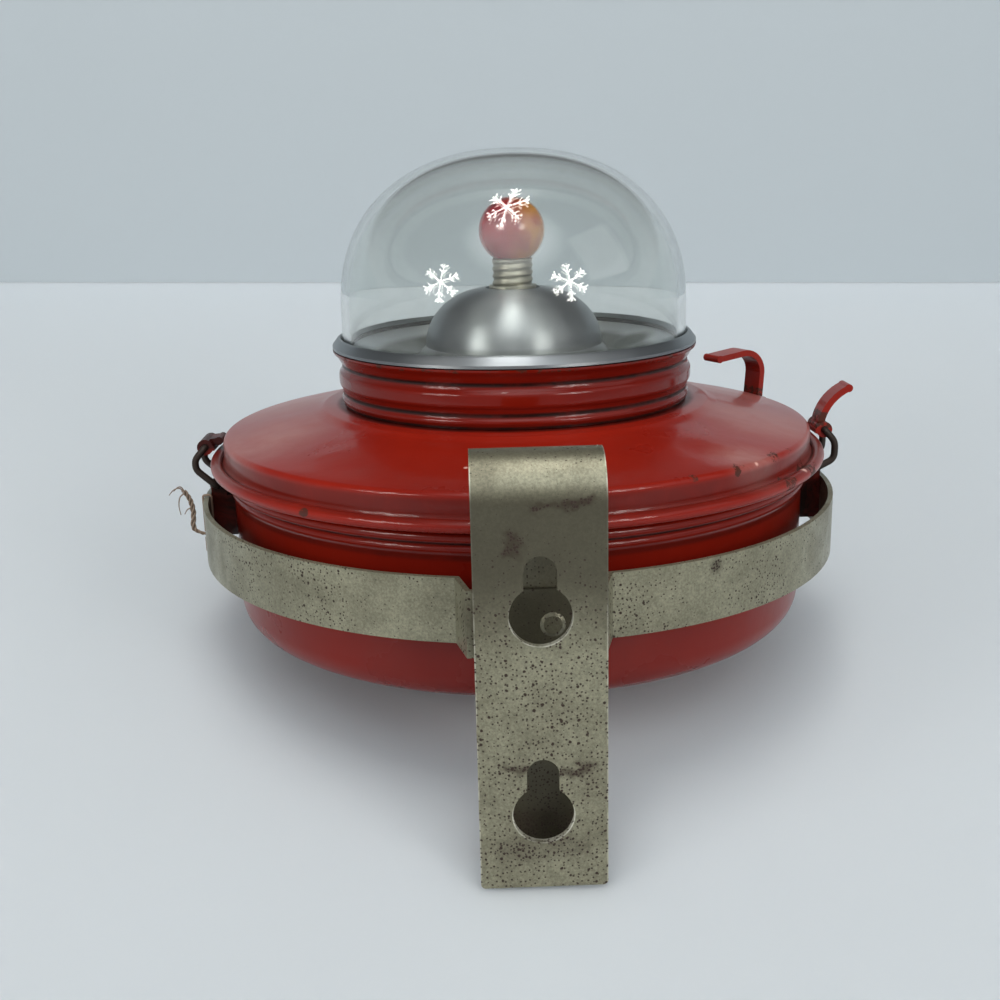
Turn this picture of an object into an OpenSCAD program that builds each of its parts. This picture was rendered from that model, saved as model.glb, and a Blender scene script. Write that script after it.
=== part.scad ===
// Battery warning lantern: a round pan and lid with a clear dome, hung in a hoop
// on a strap bracket with two keyholes. Millimetres, +Z up, lantern axis on Z.
// The origin is the centre of the pan's flat bottom, and the bracket faces -Y.

/* [Pan] */
// Outer diameter of the pan's wall
pan_d = 148; // [140:0.5:150]
// Height of the lid's rim above the pan's bottom
rim_z = 42.2; // [41:0.2:46]
// Sheet thickness of pan and lid
sheet_t = 0.8; // [0.6:0.1:1]
// Rounding between the pan's bottom and wall
pan_corner_r = 7; // [5:0.5:9]
// Radius of the rolled edge round the pan's mouth
pan_curl_r = 1.3; // [1:0.1:1.5]
// Depth of the rib pressed into the pan's wall under its rolled edge
pan_rib = 0.7; // [0.4:0.1:0.9]

/* [Lid] */
// Overhang of the lid's rolled rim beyond the pan's wall
rim_over = 5.4; // [4.8:0.2:6]
// Diameter of the rolled bead
bead_d = 3; // [2.4:0.2:3.4]
// Step of the lid's short wall beyond the pan's wall
lid_wall_step = 1.8; // [1.4:0.1:2.2]
// Height of the lid's rounded shoulder above its rim
shoulder_h = 6.4; // [5.5:0.1:8]
// Rise of the cone from the shoulder to the neck
cone_rise = 6.3; // [5:0.1:7]
// Inset of the lid's neck tube from the dome's wall
neck_inset = 0.6; // [0.4:0.1:1]
// Height of the neck tube
neck_h = 11; // [8:0.5:11.5]

/* [Collar and dome] */
// Step of the collar's main rib beyond the dome's wall
collar_step = 1.3; // [1.1:0.1:1.7]
// Depth of the grooves between the collar's ribs
groove_depth = 0.9; // [0.5:0.1:0.9]
// Overhang of the collar's flared lip beyond its main rib
lip_over = 1.3; // [1:0.1:2]
// Height of the collar
collar_h = 14; // [13:0.2:15]
// Sheet thickness of collar and reflector
trim_t = 0.6; // [0.5:0.1:0.7]
// Outer diameter of the clear dome
dome_d = 88.4; // [87:0.2:88.8]
// Height of the dome from foot to crown
dome_h = 47; // [42:1:54]
// Height of the dome's straight foot
dome_foot_h = 8; // [6:0.5:12]
// Wall of the dome
dome_t = 2; // [1.6:0.1:2.6]
// Axial travel of the collar's thread per turn
thread_pitch = 2.5; // [2:0.1:3]

/* [Reflector] */
// Depth of the trough around the central hump below the dome's seat
trough_depth = 4.6; // [3.6:0.2:5.4]
// Distance from the dome's wall to the trough's lowest ring
trough_inset = 16.2; // [13.2:0.5:17.7]
// Width of the slope between the trough and the hump
hump_inset = 5.2; // [4:0.2:8]
// Height of the hump above the dome's seat
hump_h = 13.3; // [11:0.1:14]
// Height of the silver rim above the dome's seat
ring_h = 2; // [1:0.1:2.4]

/* [Bulb] */
// Diameter of the bulb's globe
globe_d = 16.8; // [14:0.2:18]
// Outer diameter of the screw base
base_d = 10.4; // [9.4:0.1:10.8]
// Length of the screw base
base_len = 12.6; // [11.5:0.1:14]
// Length of the screw base that stands above the socket
base_proud = 6.6; // [5:0.1:7.5]
// Wall of the lamp socket
socket_t = 0.6; // [0.5:0.05:0.8]

/* [Hoop] */
// Free gap between the pan's wall and the hoop
hoop_gap = 6.8; // [6.3:0.25:8.8]
// Height of the hoop's band
band_h = 14.3; // [12:0.1:15]
// Thickness of the hoop's band
band_t = 1.2; // [1:0.1:1.5]
// Height of the band's lower edge above the pan's bottom
band_z = 17.7; // [14:0.1:18]
// Forward step of the hoop's front bridge
bridge_step = 7; // [5.5:0.25:8]
// Width of the bridge at its front
bridge_w = 28.3; // [27.5:0.1:31]

/* [Bracket] */
// Width of the bracket's strap
strap_w = 25.4; // [22:0.2:26]
// Thickness of the bracket's strap
strap_t = 1.3; // [1:0.1:1.6]
// Depth of the folded bracket from its front face to its back face
fork_depth = 17.8; // [15.5:0.1:21]
// Full height of the front leaf, bend included
strap_h = 87.6; // [84:0.2:96]
// Height of the strap's lower end below the pan's bottom
strap_drop = 25.3; // [22:0.1:30]
// Amount by which the rear leaf is shorter than the front leaf
rear_short = 2; // [1:0.5:4]
// Distance by which the rear leaf's end leans in towards the front leaf
clip_in = 7; // [4:0.5:8]
// Diameter of the keyholes' round part
keyhole_d = 12.04; // [11:0.1:13]
// Width of the keyholes' slot
slot_w = 6.35; // [5:0.1:7]
// Distance from the round part's centre to the end of the slot
slot_reach = 11.8; // [10.5:0.1:13]
// Distance between the two keyholes
keyhole_pitch = 41.3; // [38:0.1:44]
// Distance from the strap's lower end to the lower keyhole's centre
keyhole_up = 15.9; // [14:0.1:18]
// Radius of the strap's lower corners
strap_corner_r = 1; // [0.6:0.1:2]

/* [Latches] */
// Diameter of the bail wire
wire_d = 1.8; // [1.6:0.1:2]
// Spacing of the bail's two legs
bail_w = 11.6; // [11:0.2:14]
// Reach of the bail's legs beyond the bead
bail_out = 4.3; // [3.5:0.1:5]
// Height over the pivot at which the left and rear bails bow out
bow_rise = 4.6; // [4:0.2:5.4]
// Height over the pivot at which the right bail bows out, bent squarer
bow_rise_right = 2.6; // [2.4:0.2:4.6]
// Position of the rear latch behind the right one, in degrees
rear_latch_angle = 28; // [20:1:40]
// Bending radius of the right lever's outward curl
curl_r = 13.2; // [11:0.2:15]
// Angle that the right lever's curl runs through
curl_angle = 61; // [45:1:70]
// Height of the rear lever's upright part above its bar
hook_rise = 9; // [6:0.5:10]
// Bending radius of the rear lever's inward curl
hook_r = 7; // [5.5:0.25:8]
// Angle that the rear lever's curl runs through
hook_angle = 96; // [80:1:105]
// Length of the rear lever's straight end
hook_tail = 9; // [6:0.5:11]
// Width of the levers' tongues
tongue_w = 6.4; // [5:0.2:8]
// Thickness of the levers' folded tongues
tongue_t = 1.7; // [1.4:0.1:2]
// Reach of the left lever's stub over the bead
stub_reach = 3.4; // [2.6:0.1:4]
// Sheet thickness of levers and latch brackets
latch_t = 1.1; // [0.9:0.1:1.2]

/* [Battery] */
// Diameter of one cell
cell_d = 34.2; // [33:0.1:34.4]
// Clearance between the ends of the rows of cells and the pan's wall
row_clear = 1; // [0.8:0.1:2.5]

/* [Hidden] */
$fn = 96;

// Running gap between bodies that move past each other
gap = 0.3;
// Radial clearance of a pin in its hole
pin_clear = 0.06;
// Clearance under what only rests against its neighbour
touch = 0.02;
wire_r = wire_d / 2;

pan_r = pan_d / 2;
pan_in = pan_r - sheet_t;
rim_r = pan_r + rim_over;
bead_r = bead_d / 2;
bead_c = rim_r - bead_r;
lid_wall_r = pan_r + lid_wall_step;
flare_r = 2.2;
shoulder_z = rim_z + shoulder_h;
shoulder_r = 1.4;
dome_r = dome_d / 2;
neck_r = dome_r - neck_inset;
neck_in = neck_r - sheet_t;
land_z = shoulder_z + cone_rise;
land_r = neck_r + 4.4;

// The pan's rim carries the gasket, and the lid's flange lies on the gasket
gasket_t = 1.2;
flange_z = rim_z - 1.4;
pan_top = flange_z - gasket_t;
bead_z = flange_z + bead_r - 0.5;

collar_z = land_z + gap;
collar_r = dome_r + collar_step;
groove_r = collar_r - groove_depth;
lip_r = collar_r + lip_over;
lip_z = collar_z + collar_h;
seat_z = lip_z + gap + trim_t;
ring_in = dome_r + gap;
ring_out = lip_r;
seal_t = 0.8;
dome_z = seat_z + seal_t;

base_r = base_d / 2;
socket_in = base_r + pin_clear;
socket_out = socket_in + socket_t;
trough_r = dome_r - trough_inset;
hump_r = trough_r - hump_inset;
hump_top = seat_z + hump_h;
socket_top = hump_top + 0.6;
base_top = socket_top + base_proud;
base_bot = base_top - base_len;
insulator_t = 2;
bridge_z = land_z + 4;
insulator_z = bridge_z + trim_t;
contact_drop = 1.6;
globe_r = globe_d / 2;
globe_z = base_top + globe_r - 1.2;

hoop_in = pan_r + hoop_gap;
hoop_r = hoop_in + band_t;
band_top = band_z + band_h;
bridge_y = hoop_r + bridge_step;
bridge_back = bridge_y - band_t;

strap_z = -strap_drop;
strap_back = bridge_back - strap_t;
strap_y = strap_back + fork_depth;
bend_r = fork_depth / 2;
bend_z = strap_z + strap_h - bend_r;
keyhole_z = strap_z + keyhole_up;

// The bail turns in ears that stand just above the hoop
pivot_r = hoop_in - 2.2;
pivot_z = band_top + 2.2;
ear_r = wire_r + 1.2;
base_w = bail_w - wire_d - 2 * gap;
bar_r = rim_r + wire_r + 0.9;
bar_z = rim_z + 2.2;
bow_r = rim_r + bail_out;
barrel_in = wire_r + pin_clear;
barrel_out = barrel_in + latch_t;
lever_w = bail_w - wire_d - 2 * gap;
nose = barrel_out + 0.3;
nose_low = bead_z + bead_r + 0.2 - bar_z;

// Tie wire round the hoop: its radius, place and the reach of its frayed end
tie_azimuth = 185.5;
tie_r = 0.45;
tie_up = 4.3;
tail_out = 5.4;
tail_up = 2.2;
fray = 3.4;

rivet_r = 2.2;
rivet_h = 0.7;
rivet_up = 8;

cell_r = cell_d / 2;
tray_t = 0.8;
tray_z = sheet_t;
cell_z = tray_z + tray_t + cell_r;
row_y = cell_r + 0.4;
strip_t = 0.5;
spring_len = 4;
spring_r = 0.45;
coil_foot_r = 6;
coil_tip_r = 3.4;
row_end = sqrt(pow(pan_in, 2) - pow(row_y + cell_r, 2)) - row_clear;
cell_len = row_end - spring_len / 2;
strip_w = 9;
floor_r = pan_r - pan_corner_r - gap;
tray_half = row_end + strip_t + 2.7;

latch_azimuths = [0, rear_latch_angle, 180];

function unit(v) = v / norm(v);
// Unit vector to the left of segment i of path p
function left(p, i) = let (d = unit(p[i + 1] - p[i])) [-d.y, d.x];
function moved(p, i, t) =
    let (a = left(p, max(i - 1, 0)),
         b = left(p, min(i, len(p) - 2)),
         m = unit(a + b))
    p[i] + t * m / max(0.3, m * a);
// Closed outline of a sheet that follows path p, with its thickness t to the left
function sheet(p, t) = concat(p, [for (i = [len(p) - 1:-1:0]) moved(p, i, t)]);
function arc(c, r, a0, a1, n) =
    [for (i = [0:n]) c + r * [cos(a0 + (a1 - a0) * i / n), sin(a0 + (a1 - a0) * i / n)]];

module revolved(p, t) {
    rotate_extrude() polygon(sheet(p, t));
}

module ring(r_in, r_out, z, h) {
    translate([0, 0, z])
        difference() {
            cylinder(r = r_out, h = h);
            translate([0, 0, -1]) cylinder(r = r_in, h = h + 2);
        }
}

// Rings of a bent wire, each in the plane that halves the bend at its point
function first_ring(p, r, n) =
    let (d = unit(p[1] - p[0]),
         u = unit(cross(d, abs(d.z) < 0.9 ? [0, 0, 1] : [0, 1, 0])),
         v = cross(d, u))
    [for (k = [0:n - 1]) p[0] + r * (cos(360 * k / n) * u + sin(360 * k / n) * v)];
function next_rings(p, last, i) =
    let (d = unit(p[i] - p[i - 1]),
         cut = i < len(p) - 1 ? unit(d + unit(p[i + 1] - p[i])) : d,
         made = [for (v = last) v + d * ((p[i] - v) * cut) / (d * cut)])
    i < len(p) - 1 ? concat([made], next_rings(p, made, i + 1)) : [made];

// A bent round wire of radius r along the points p
module bent_wire(p, r, n = 8) {
    start = first_ring(p, r, n);
    rings = concat([start], next_rings(p, start, 1));
    last = (len(p) - 1) * n;
    polyhedron(
        points = [for (a = rings) each a],
        faces = concat(
            [[for (k = [0:n - 1]) k]],
            [for (i = [0:len(p) - 2]) for (k = [0:n - 1])
                let (a = i * n + k, b = i * n + (k + 1) % n) [a, a + n, b + n, b]],
            [[for (k = [n - 1:-1:0]) last + k]]));
}

// Turns a profile drawn as radius and height into a slab that is w wide
module radial_slab(w) {
    rotate([90, 0, 0]) linear_extrude(height = w, center = true) children();
}

module pan() {
    rib_r = 1.3;
    rib_z = pan_top - 2 * pan_curl_r - 1.5;
    path = concat(
        [[0, 0]],
        arc([pan_r - pan_corner_r, pan_corner_r], pan_corner_r, -90, 0, 8),
        [[pan_r, rib_z - 1.5]],
        arc([pan_r + pan_rib - rib_r, rib_z], rib_r, -50, 50, 6),
        [[pan_r, rib_z + 1.5], [pan_r, pan_top]]);
    color("firebrick") {
        revolved(path, sheet_t);
        rotate_extrude()
            translate([pan_r + 0.6, pan_top - pan_curl_r]) circle(r = pan_curl_r, $fn = 32);
    }
}

module rim_gasket() {
    color("dimgray") ring(pan_in + 0.4, pan_r + 0.6, pan_top, gasket_t);
}

module lid() {
    corner = [lid_wall_r - shoulder_r, shoulder_z - shoulder_r];
    flare = [lid_wall_r + flare_r, flange_z + sheet_t + flare_r];
    cone_foot = [land_r + 3, land_z - 0.8];
    fillet = 0.3;
    path = concat(
        arc(flare, flare_r, 270, 180, 5),
        arc(corner, shoulder_r, 0, 78, 5),
        [cone_foot, [land_r + 1.6, land_z], [neck_r + fillet, land_z]],
        [[neck_r, land_z + fillet], [neck_r, land_z + neck_h]]);
    color("firebrick") {
        revolved(path, sheet_t);
        ring(pan_in + 0.4, bead_c, flange_z, sheet_t);
        rotate_extrude() translate([bead_c, bead_z]) circle(r = bead_r, $fn = 40);
    }
}

module collar() {
    bulge_r = 1.6;
    bulge_x = collar_r - bulge_r;
    bulge_low = 4.9;
    bulge_high = collar_h - 5.4;
    path = concat(
        [[groove_r - 0.1, 0]],
        arc([groove_r - 0.7, 1.6], 1.1, -45, 45, 3),
        [[groove_r, 3.1]],
        arc([bulge_x, bulge_low + 1], bulge_r, -50, 0, 3),
        arc([bulge_x, bulge_high - 1], bulge_r, 0, 50, 3),
        [[groove_r, bulge_high + 1.3], [groove_r + 0.1, bulge_high + 2]],
        [[lip_r - 0.8, collar_h - 1.2], [lip_r, collar_h - 0.5], [lip_r, collar_h]]);
    color("firebrick") translate([0, 0, collar_z]) revolved(path, trim_t);
}

module reflector() {
    shelf_in = dome_r - dome_t - 0.8;
    trough_z = seat_z - trough_depth;
    eye_r = socket_out + 0.6;
    steps = 10;
    path = concat(
        [[ring_in + 0.4, seat_z], [shelf_in, seat_z]],
        arc([trough_r, trough_z + 4], 4, -72, -130, 4),
        [for (i = [0:steps])
            let (a = 90 * i / steps)
            [eye_r + (hump_r - eye_r) * cos(a), seat_z - 1 + (hump_h + 1) * sin(a)]]);
    color("silver") {
        revolved(path, trim_t);
        rotate_extrude()
            polygon([
                [ring_in, seat_z - trim_t], [ring_out, seat_z - trim_t],
                [ring_out, seat_z], [ring_in + 0.7, seat_z + ring_h], [ring_in, seat_z + ring_h]]);
    }
}

module dome_gasket() {
    color("dimgray") ring(dome_r - dome_t - 0.4, dome_r, seat_z, seal_t);
}

// A superellipse arch over a short straight foot
module dome_solid(r, foot, rise) {
    power = 2 / 2.25;
    steps = 18;
    curve = [for (i = [0:steps])
        [r * pow(cos(90 * i / steps), power), foot + rise * pow(sin(90 * i / steps), power)]];
    rotate_extrude() polygon(concat([[0, 0], [r, 0]], curve));
}

module dome_lens() {
    rise = dome_h - dome_foot_h;
    color([0.8, 0.86, 0.84, 0.35])
        translate([0, 0, dome_z])
            difference() {
                dome_solid(dome_r, dome_foot_h, rise);
                translate([0, 0, -0.01])
                    dome_solid(dome_r - dome_t, dome_foot_h, rise - dome_t);
            }
}

module socket_bridge() {
    tab_h = 5;
    reach = neck_in - 0.05;
    w = 14;
    color("silver")
        difference() {
            intersection() {
                union() {
                    translate([0, 0, bridge_z]) cylinder(r = reach, h = trim_t);
                    ring(reach - trim_t, reach, bridge_z - tab_h, tab_h + trim_t);
                }
                translate([-2 * reach, -w / 2, 0]) cube([4 * reach, w, 2 * bridge_z]);
            }
            translate([0, 0, bridge_z - 1]) cylinder(r = 3, h = 4);
        }
}

module socket_shell() {
    foot = insulator_z + insulator_t;
    color("gray") {
        ring(socket_in, socket_out, foot, socket_top - foot);
        ring(socket_in, socket_out + 0.25, socket_top - 0.8, 0.8);
    }
}

module socket_insulator() {
    color("saddlebrown")
        difference() {
            translate([0, 0, insulator_z]) cylinder(r = socket_out + 1.4, h = insulator_t);
            translate([0, 0, insulator_z - 1]) cylinder(r = 1.7, h = insulator_t + 2);
        }
}

module socket_contact() {
    foot = bridge_z - contact_drop;
    head = insulator_z + insulator_t;
    color("goldenrod") {
        translate([0, 0, foot]) cylinder(r = 1.6, h = head - foot + 1);
        translate([0, 0, head]) cylinder(r = 3.2, h = base_bot - 1.4 - head);
    }
}

module bulb_contact() {
    color("silver") translate([0, 0, base_bot - 1.1]) cylinder(r1 = 1.4, r2 = 2.4, h = 1.1);
}

module bulb_base() {
    color("silver") {
        ring(base_r - 0.4, base_r, base_bot + 2, base_len - 2);
        translate([0, 0, base_bot]) cylinder(r1 = 2.4, r2 = base_r, h = 2);
    }
}

module bulb_globe() {
    neck = base_r - 0.5;
    color([0.75, 0.15, 0.1])
        difference() {
            union() {
                translate([0, 0, globe_z]) sphere(r = globe_r);
                translate([0, 0, base_top - 4]) cylinder(r = neck, h = 6);
            }
            translate([0, 0, globe_z]) sphere(r = globe_r - 0.6);
            translate([0, 0, base_top - 5]) cylinder(r = neck - 0.6, h = 8);
        }
}

module bulb_stem() {
    stem_bot = base_bot + 2;
    post = globe_z + 1 - stem_bot;
    color("lightgray") {
        translate([0, 0, stem_bot]) cylinder(r = base_r - 1.3, h = 1.6);
        translate([0, 0, stem_bot]) cylinder(r1 = 2.2, r2 = 1.2, h = base_top - stem_bot);
        for (side = [-1, 1]) translate([side * 0.8, 0, stem_bot]) cylinder(r = 0.2, h = post, $fn = 12);
    }
}

module bulb_filament() {
    color("orange")
        translate([-2.4, 0, globe_z + 1.2]) rotate([0, 90, 0]) cylinder(r = 0.2, h = 4.8, $fn = 12);
}

module hoop_band() {
    half = bridge_w / 2;
    root_x = half + 2.2;
    root_y = -sqrt(hoop_r * hoop_r - root_x * root_x);
    lap_x = root_x + 2;
    lap_y = -sqrt(hoop_r * hoop_r - lap_x * lap_x);
    path = [[-lap_x, lap_y], [-root_x, root_y], [-half, -bridge_y],
        [half, -bridge_y], [root_x, root_y], [lap_x, lap_y]];
    color("darkkhaki")
        translate([0, 0, band_z])
            linear_extrude(height = band_h) {
                difference() {
                    circle(r = hoop_r, $fn = 180);
                    circle(r = hoop_in, $fn = 180);
                    translate([-root_x, -2 * hoop_r]) square([2 * root_x, 2 * hoop_r]);
                }
                polygon(sheet(path, band_t));
            }
}

module leaf_outline(h) {
    r = strap_corner_r;
    translate([-strap_w / 2 + r, 0]) square([strap_w - 2 * r, h]);
    translate([-strap_w / 2, r]) square([strap_w, h - r]);
    for (side = [-1, 1]) translate([side * (strap_w / 2 - r), r]) circle(r = r, $fn = 32);
}

// One upright leaf whose front face lies at the given distance in front of the axis
module leaf(front, z, h) {
    translate([0, strap_t - front, z])
        rotate([90, 0, 0]) linear_extrude(height = strap_t) leaf_outline(h);
}

// The leaf behind, welded to the hoop's bridge, which leans in below the band
module rear_leaf() {
    kink_z = band_z - 2;
    front = [[-bridge_back, bend_z], [-bridge_back, kink_z], [-bridge_back - clip_in, strap_z + rear_short]];
    rotate([90, 0, 90]) linear_extrude(height = strap_w, center = true) polygon(sheet(front, strap_t));
}

module keyhole(z) {
    slot_up = slot_reach - slot_w / 2;
    translate([0, -strap_y - 1, z])
        rotate([-90, 0, 0]) {
            cylinder(d = keyhole_d, h = strap_t + 2);
            translate([-slot_w / 2, -slot_up, 0]) cube([slot_w, slot_up, strap_t + 2]);
            translate([0, -slot_up, 0]) cylinder(d = slot_w, h = strap_t + 2);
        }
}

module hanger_plate() {
    color("darkkhaki")
        difference() {
            union() {
                leaf(strap_y, strap_z, bend_z - strap_z);
                rear_leaf();
                translate([0, bend_r - strap_y, bend_z])
                    rotate([0, 90, 0])
                        intersection() {
                            ring_x(bend_r, strap_t, strap_w);
                            translate([-2 * bend_r, -2 * bend_r, -strap_w])
                                cube([2 * bend_r, 4 * bend_r, 2 * strap_w]);
                        }
            }
            for (i = [0, 1]) keyhole(keyhole_z + i * keyhole_pitch);
        }
}

module ring_x(r, t, w) {
    difference() {
        cylinder(r = r, h = w, center = true);
        cylinder(r = r - t, h = w + 2, center = true);
    }
}

// Weld dimples that tie the bridge to the rear leaf
module spot_welds() {
    mid_z = band_z + band_h * 0.47;
    color("gray")
        for (x = [-9.4, 3.3])
            translate([x, -bridge_y, mid_z])
                rotate([90, 0, 0]) cylinder(r1 = 2.6, r2 = 1.9, h = 0.35, $fn = 40);
}

// Local frame of a latch: X runs outward and Y along the rim
module latch_base() {
    half = base_w / 2;
    low = band_z + 3;
    ear_in = pivot_r - ear_r;
    seat = 0.05;
    for (side = [-1, 1])
        translate([0, side * (half - latch_t / 2), 0])
            radial_slab(latch_t)
                difference() {
                    union() {
                        translate([pan_r + 0.5, low]) square([hoop_in - pan_r - 1, band_top - low - 0.6]);
                        translate([pivot_r, pivot_z]) circle(r = ear_r, $fn = 40);
                        translate([ear_in, band_top - 4])
                            square([hoop_in - gap - ear_in, pivot_z - band_top + 4]);
                    }
                    translate([pivot_r, pivot_z]) circle(r = wire_r + pin_clear, $fn = 40);
                }
    intersection() {
        union() {
            ring(pan_r + seat, pan_r + seat + latch_t, low, band_h - 5);
            ring(hoop_in - seat - latch_t, hoop_in - seat, low, band_h - 5);
        }
        translate([0, -half, 0]) cube([2 * hoop_r, base_w, 2 * hoop_r]);
    }
}

module latch_base_left() {
    color("firebrick") rotate(180) latch_base();
}

module latch_base_right() {
    color("firebrick") latch_base();
}

module latch_base_rear() {
    color("firebrick") rotate(rear_latch_angle) latch_base();
}

module base_rivets() {
    color("gray")
        for (a = latch_azimuths)
            rotate(a)
                translate([hoop_r, 0, band_z + rivet_up])
                    rotate([0, 90, 0])
                        cylinder(r1 = rivet_r, r2 = rivet_r - rivet_h, h = rivet_h, $fn = 40);
}

module pin_y(r, x, z, y0, y1) {
    translate([x, y0, z]) rotate([-90, 0, 0]) cylinder(r = r, h = y1 - y0, $fn = 32);
}

module bail(rise) {
    half = bail_w / 2;
    inner = base_w / 2 - latch_t - 0.6;
    leg = [[pivot_r, pivot_z], [bow_r, pivot_z + rise], [bow_r + 0.1, bar_z - 3], [bar_r, bar_z]];
    path = concat(
        [[pivot_r, -inner - 0.1, pivot_z]],
        [for (p = leg) [p.x, -half, p.y]],
        [for (i = [3:-1:0]) [leg[i].x, half, leg[i].y]],
        [[pivot_r, inner + 0.1, pivot_z]]);
    bent_wire(path, wire_r - 0.02, 16);
    pin_y(wire_r, bar_r, bar_z, -half + wire_r, half - wire_r);
    pin_y(wire_r, pivot_r, pivot_z, inner, half - wire_r / 2);
    pin_y(wire_r, pivot_r, pivot_z, wire_r / 2 - half, -inner);
}

module bail_left() {
    color("dimgray") rotate(180) bail(bow_rise);
}

module bail_right() {
    color("dimgray") bail(bow_rise_right);
}

module bail_rear() {
    color("dimgray") rotate(rear_latch_angle) bail(bow_rise);
}

// A folded tongue on a barrel that turns on the bail's bar, with its nose over the bead
module lever(path, side) {
    last = len(path) - 1;
    tip = (path[last] + moved(path, last, side * tongue_t)) / 2;
    translate([bar_r, 0, bar_z]) {
        radial_slab(lever_w)
            difference() {
                union() {
                    circle(r = barrel_out, $fn = 48);
                    translate([-nose, nose_low]) square([nose, latch_t]);
                }
                circle(r = barrel_in, $fn = 48);
            }
        radial_slab(tongue_w)
            difference() {
                union() {
                    polygon(sheet(path, side * tongue_t));
                    translate(tip) circle(r = tongue_t * 0.62, $fn = 32);
                }
                circle(r = barrel_in, $fn = 48);
            }
    }
}

module lever_right() {
    curl = arc([curl_r - 1.6, -0.6], curl_r, 176, 176 - curl_angle, 10);
    color("firebrick") lever(curl, -1);
}

module lever_rear() {
    curl = arc([1.6 - hook_r, hook_rise], hook_r, 0, hook_angle, 10);
    tail = curl[10] + hook_tail * [cos(90 + hook_angle), sin(90 + hook_angle)];
    color("firebrick") rotate(rear_latch_angle) lever(concat([[0.9, 0.4]], curl, [tail]), 1);
}

module lever_left() {
    color("firebrick") rotate(180) lever([[0.6, 0.6], [-1.2, 2], [-stub_reach, 2.2]], 1);
}

// Point at the share f of the way along a path, with its corners at even shares
function on_path(p, f) =
    let (k = f * (len(p) - 1), i = min(floor(k), len(p) - 2)) p[i] + (p[i + 1] - p[i]) * (k - i);

// Two strands wound about each other, tied round the hoop and left frayed
module tie_wire() {
    out = hoop_r + tie_r + touch;
    back = hoop_in - tie_r - touch;
    high = band_top + tie_r + touch;
    low = band_z - tie_r - touch;
    turns = 2.5;
    steps = 24;
    twist = 0.8 * tie_r;
    knot = band_z + tie_up;
    tail = [hoop_r + tail_out, 0, band_top + tail_up];
    elbow = [hoop_r + 0.7 * tail_out, 0, knot + 2];
    rise = tail.z - elbow.z;
    route = [[out + twist, 0, knot], elbow, elbow + [-0.6, 0, 0.4 * rise], elbow + [0.1, 0, 0.75 * rise], tail];
    color("tan")
        rotate(tie_azimuth) {
            bent_wire([[out, 0, knot - 1], [out, 0, low], [back, 0, low], [back, 0, high],
                [out, 0, high], [out, 0, knot + 1]], tie_r);
            for (strand = [0, 180])
                bent_wire([for (i = [0:steps])
                    let (f = i / steps, a = strand + 360 * turns * f)
                    on_path(route, f) + twist * [cos(a), sin(a), 0]],
                    tie_r);
            for (p = [[[-0.06, 0, -0.15], [0.5, 0.24, 0.24], [1, 0.7, -0.18]],
                [[0.06, 0, -0.18], [0.35, 0.15, -0.9], [0.3, 0.1, -2]]])
                bent_wire([for (q = p) tail + fray * q], tie_r);
        }
}

module battery_tray() {
    wall_y = row_y + cell_r + gap;
    wide = 2 * (wall_y + tray_t);
    wall_half = 48;
    wall_h = 6;
    color("lightsteelblue") {
        intersection() {
            translate([-tray_half, -wide / 2, tray_z]) cube([2 * tray_half, wide, tray_t]);
            cylinder(r = floor_r, h = 2 * cell_d);
        }
        for (side = [0, 180])
            rotate(side) translate([-wall_half, wall_y, tray_z]) cube([2 * wall_half, tray_t, wall_h]);
    }
}

module cell(row, side) {
    nub = 1.5;
    color("darkslateblue")
        translate([side * cell_len / 2 + row * spring_len / 2, row * row_y, cell_z])
            rotate([0, row * 90, 0]) {
                translate([0, 0, -cell_len / 2]) cylinder(r = cell_r, h = cell_len - nub);
                cylinder(r = 4.7, h = cell_len / 2);
            }
}

module cell_1() {
    cell(1, -1);
}

module cell_2() {
    cell(1, 1);
}

module cell_3() {
    cell(-1, -1);
}

module cell_4() {
    cell(-1, 1);
}

// A contact plate that stands on the tray at a row's end
module terminal(side, row) {
    face_w = 14;
    foot_y = row * (row_y - 3) - strip_w / 2;
    x = side > 0 ? row_end : -row_end - strip_t;
    translate([x, foot_y, tray_z + tray_t]) cube([strip_t, strip_w, cell_r]);
    translate([x, row * row_y - face_w / 2, cell_z - 7]) cube([strip_t, face_w, 14]);
}

module end_terminals() {
    color("goldenrod") {
        terminal(1, 1);
        terminal(1, -1);
    }
}

module link_strip() {
    color("goldenrod") {
        terminal(-1, 1);
        terminal(-1, -1);
        translate([-row_end - strip_t, -row_y, cell_z - 4]) cube([strip_t, 2 * row_y, 8]);
    }
}

module cell_springs() {
    turns = 3;
    steps = 30;
    run = spring_len - 2 * spring_r;
    color("silver")
        for (row = [-1, 1])
            bent_wire([for (i = [0:steps])
                let (f = i / steps, a = 360 * turns * f, r = coil_foot_r + (coil_tip_r - coil_foot_r) * f)
                [row * (spring_r - row_end + run * f), row * row_y + r * cos(a), cell_z + r * sin(a)]],
                spring_r);
}

// A strip from the front terminal over the cells, with a leaf that rises to the lamp
module feed_strip() {
    top = cell_z + cell_r + 0.6;
    tip_z = bridge_z - contact_drop - gap - strip_t;
    turn_x = 12;
    leaf_w = 8;
    leaf = [[5, tip_z - 3], [2, tip_z], [-1.5, tip_z], [-8, top], [turn_x - leaf_w, top]];
    color("goldenrod") {
        translate([row_end + strip_t, row_y - strip_w / 2, cell_z]) cube([strip_t, strip_w, top - cell_z]);
        translate([turn_x - leaf_w, row_y - strip_w / 2, top])
            cube([row_end + 2 * strip_t - turn_x + leaf_w, strip_w, strip_t]);
        translate([turn_x - leaf_w, -leaf_w / 2, top]) cube([leaf_w, row_y, strip_t]);
        radial_slab(leaf_w) polygon(sheet(leaf, strip_t));
    }
}

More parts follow.
